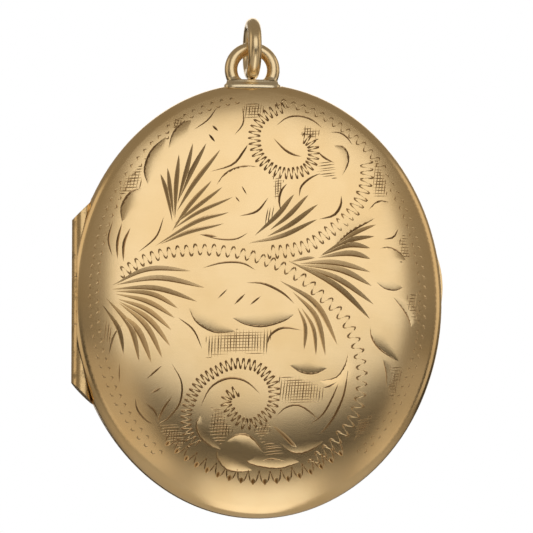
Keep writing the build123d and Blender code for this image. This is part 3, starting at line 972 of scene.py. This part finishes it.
studio = {
    "floorDrop": 0.25,  # below the locket, which hangs from its ring
    "floorHalf": 0.8,
    "surround": 0.26,
    "horizon": 0.035,  # the dark of the room between the floor and the lamps
    "darkBelow": -0.10,  # how far up a way points where the dark ends, and where the room is fully lit
    "lightAbove": 0.12,
    "warmth": (1.0, 0.86, 0.68),
}


lamps = {  # degrees round and up, distance, size across and up, brightness, whether warm
    "frontSoftbox": (6, 17.5, 0.5, 0.54, 0.37, 0.78, False),
    "lowPanel": (8, -57, 0.20, 0.11, 0.25, 0.70, False),
    "lowLeftFill": (-31, -15, 0.4, 0.22, 0.17, 0.42, True),
    "lowRightFill": (46, -15, 0.4, 0.16, 0.17, 0.36, True),
    "leftPanel": (-85, 10, 0.5, 0.30, 0.50, 0.5, True),
    "rightPanel": (85, 10, 0.5, 0.30, 0.50, 0.5, True),
    "backLight": (170, 20, 0.5, 0.4, 0.4, 1.0, False),
}


def areaLight(name, turn, rise, distance, sizeAcross, sizeUp, brightness, warm):
    data = bpy.data.lights.new(name, "AREA")
    data.shape = "RECTANGLE"
    data.size = sizeAcross
    data.size_y = sizeUp
    data.energy = brightness * math.pi * sizeAcross * sizeUp
    data.color = studio["warmth"] if warm else (1, 1, 1)
    way = facing(turn, rise)
    light = addPiece(name, data)
    light.location = middle + way * distance
    light.rotation_euler = (-way).to_track_quat("-Z", "Y").to_euler()


def makeFloor():
    low = cadBox[0].z - studio["floorDrop"]
    half = studio["floorHalf"]
    mesh = bpy.data.meshes.new("floor")
    corners = [(-half, -half, low), (half, -half, low), (half, half, low), (-half, half, low)]
    mesh.from_pydata(corners, [], [(0, 1, 2, 3)])
    floor = addPiece("floor", mesh)
    finish = Finish("paleFloor")
    place = finish.node("ShaderNodeTexCoord", None, None, output=3)
    cloud = finish.noise(place, 3, 2)
    colour = finish.mix(cloud, (0.86, 0.86, 0.85, 1), (0.90, 0.90, 0.89, 1))
    mesh.materials.append(finish.shell({"Base Color": colour, "Roughness": 0.8}))


def makeWorld():
    world = bpy.data.worlds.new("studio")
    world.use_nodes = True
    tree = world.node_tree
    tree.nodes.clear()
    seen = tree.nodes.new("ShaderNodeLightPath")
    white = tree.nodes.new("ShaderNodeBackground")
    white.inputs["Color"].default_value = (1, 1, 1, 1)
    room = tree.nodes.new("ShaderNodeBackground")
    direction = tree.nodes.new("ShaderNodeTexCoord")
    parts = tree.nodes.new("ShaderNodeSeparateXYZ")
    level = tree.nodes.new("ShaderNodeMapRange")
    level.inputs["From Min"].default_value = studio["darkBelow"]
    level.inputs["From Max"].default_value = studio["lightAbove"]
    level.inputs["To Min"].default_value = studio["horizon"]
    level.inputs["To Max"].default_value = studio["surround"]
    tree.links.new(direction.outputs["Generated"], parts.inputs[0])
    tree.links.new(parts.outputs["Z"], level.inputs["Value"])
    tree.links.new(level.outputs[0], room.inputs["Strength"])
    room.inputs["Color"].default_value = (*studio["warmth"], 1)
    either = tree.nodes.new("ShaderNodeMixShader")
    out = tree.nodes.new("ShaderNodeOutputWorld")
    tree.links.new(seen.outputs["Is Camera Ray"], either.inputs[0])
    tree.links.new(room.outputs[0], either.inputs[1])
    tree.links.new(white.outputs[0], either.inputs[2])
    tree.links.new(either.outputs[0], out.inputs[0])
    bpy.context.scene.world = world


view = {
    "turn": -7.0,  # degrees round the locket
    "rise": -7.0,
    "distance": 0.350,
    "aimRight": 0.000788,
    "aimUp": 0.002657,
    "lens": 300.0,
    "sensor": 36.0,
}


def makeCamera():
    back = facing(view["turn"], view["rise"])
    turn = math.radians(view["turn"])
    right = Vector((math.cos(turn), math.sin(turn), 0))
    up = back.cross(right)
    target = middle + right * view["aimRight"] + up * view["aimUp"]
    data = bpy.data.cameras.new("camera")
    data.lens = view["lens"]
    data.sensor_width = view["sensor"]
    data.clip_start = 0.01
    data.clip_end = 10
    camera = addPiece("camera", data)
    camera.location = target + back * view["distance"]
    camera.rotation_euler = (-back).to_track_quat("-Z", "Y").to_euler()
    bpy.context.scene.camera = camera


for name, lamp in lamps.items():
    areaLight(name, *lamp)
makeFloor()
makeWorld()
makeCamera()
bpy.context.scene.view_settings.view_transform = "Standard"
bpy.context.scene.view_settings.look = "None"

print("stage set")
